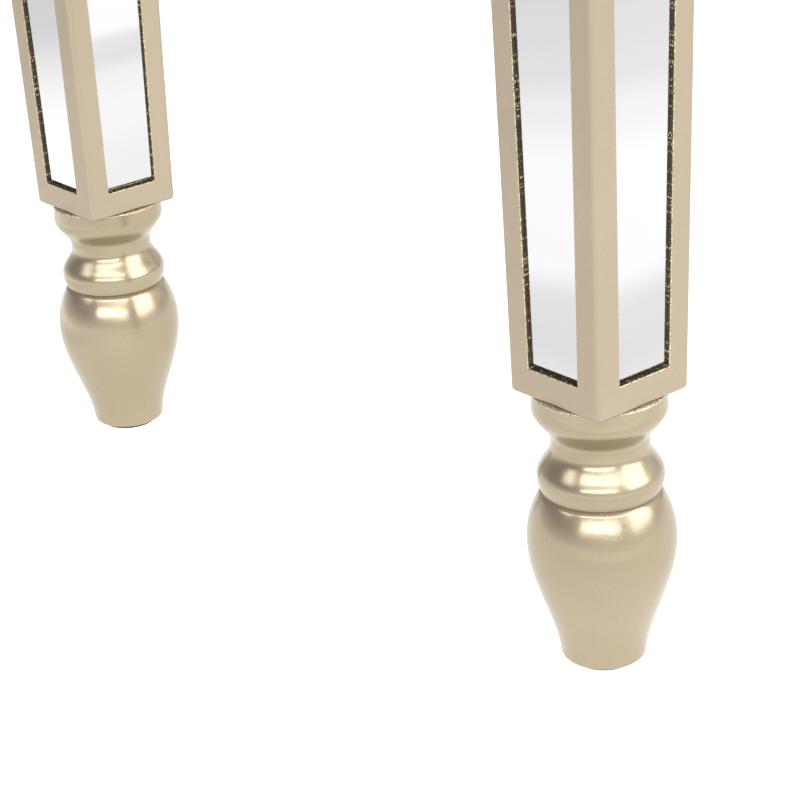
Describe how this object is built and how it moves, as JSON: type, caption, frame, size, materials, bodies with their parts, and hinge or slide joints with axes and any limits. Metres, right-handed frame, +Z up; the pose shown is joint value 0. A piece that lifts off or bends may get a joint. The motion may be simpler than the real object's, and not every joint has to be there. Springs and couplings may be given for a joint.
{
  "type": "vanity table with mirror",
  "caption": "Mirrored dressing table: tapered gold-painted legs with mirror strips on turned feet, sliding drawers, and a tilting looking mirror on turned posts.",
  "frame": {"origin": "on the floor, under the middle of the table", "axes": "+X to the right of a person facing the front, -Y out of the front towards that person, +Z up"},
  "size_m": [0.96, 0.46, 1.43],
  "materials": {
    "gold_paint": "wood in champagne-gold metallic paint, satin",
    "mirror_strips": "silvered flat glass, polished",
    "looking_mirror": "silvered flat glass, polished",
    "glide_plastic": "dark nylon",
    "washer_nylon": "dark nylon",
    "fibreboard": "bare fibreboard",
    "hardboard": "smooth brown hardboard",
    "birch_wood": "clear-lacquered light wood",
    "zinc_steel": "zinc plated",
    "knob_metal": "champagne-gold plated, satin",
    "crystal": "clear cut crystal"
  },
  "bodies": {
    "table": {"front_left_leg": "gold_paint", "front_right_leg": "gold_paint", "back_left_leg": "gold_paint", "back_right_leg": "gold_paint", "front_left_foot": "gold_paint", "front_right_foot": "gold_paint", "back_left_foot": "gold_paint", "back_right_foot": "gold_paint", "front_left_leg_mirrors": "mirror_strips", "front_right_leg_mirrors": "mirror_strips", "back_left_leg_mirrors": "mirror_strips", "back_right_leg_mirrors": "mirror_strips", "floor_glides": "glide_plastic", "left_side_panel": "gold_paint", "right_side_panel": "gold_paint", "side_mirrors": "mirror_strips", "back_panel": "fibreboard", "front_top_rail": "gold_paint", "front_bottom_rail": "gold_paint", "left_divider": "gold_paint", "right_divider": "gold_paint", "case_bottom": "birch_wood", "runner_blocks": "birch_wood", "drawer_runners": "birch_wood", "top_cleats": "birch_wood", "top_screws": "zinc_steel", "top_frame": "gold_paint", "top_board": "fibreboard", "top_mirror": "mirror_strips", "mirror_stand": "gold_paint", "stand_screws": "zinc_steel", "left_mirror_post": "gold_paint", "right_mirror_post": "gold_paint"},
    "left_drawer": {"left_drawer_front": "gold_paint", "left_drawer_mirror": "mirror_strips", "left_drawer_sides": "birch_wood", "left_drawer_back": "birch_wood", "left_drawer_bottom": "hardboard", "left_knob_base": "knob_metal", "left_knob_crystal": "crystal"},
    "middle_drawer": {"middle_drawer_front": "gold_paint", "middle_drawer_mirror": "mirror_strips", "middle_drawer_sides": "birch_wood", "middle_drawer_back": "birch_wood", "middle_drawer_bottom": "hardboard", "middle_knob_bases": "knob_metal", "middle_knob_crystals": "crystal"},
    "right_drawer": {"right_drawer_front": "gold_paint", "right_drawer_mirror": "mirror_strips", "right_drawer_sides": "birch_wood", "right_drawer_back": "birch_wood", "right_drawer_bottom": "hardboard", "right_knob_base": "knob_metal", "right_knob_crystal": "crystal"},
    "looking_mirror": {"mirror_frame": "gold_paint", "mirror_glass": "looking_mirror", "mirror_backboard": "fibreboard", "backboard_clips": "zinc_steel", "pivot_knobs": "knob_metal", "pivot_washers": "washer_nylon"}
  },
  "joints": [
    {"name": "left_drawer_slide", "type": "slide", "parent": "table", "child": "left_drawer", "axis": [0, -1, 0], "range_m": [0, 0.25]},
    {"name": "middle_drawer_slide", "type": "slide", "parent": "table", "child": "middle_drawer", "axis": [0, -1, 0], "range_m": [0, 0.25]},
    {"name": "right_drawer_slide", "type": "slide", "parent": "table", "child": "right_drawer", "axis": [0, -1, 0], "range_m": [0, 0.25]},
    {"name": "mirror_tilt", "type": "hinge", "parent": "table", "child": "looking_mirror", "pos_m": [0, 0.15, 1.115], "axis": [1, 0, 0], "range_deg": [-20, 20]}
  ]
}
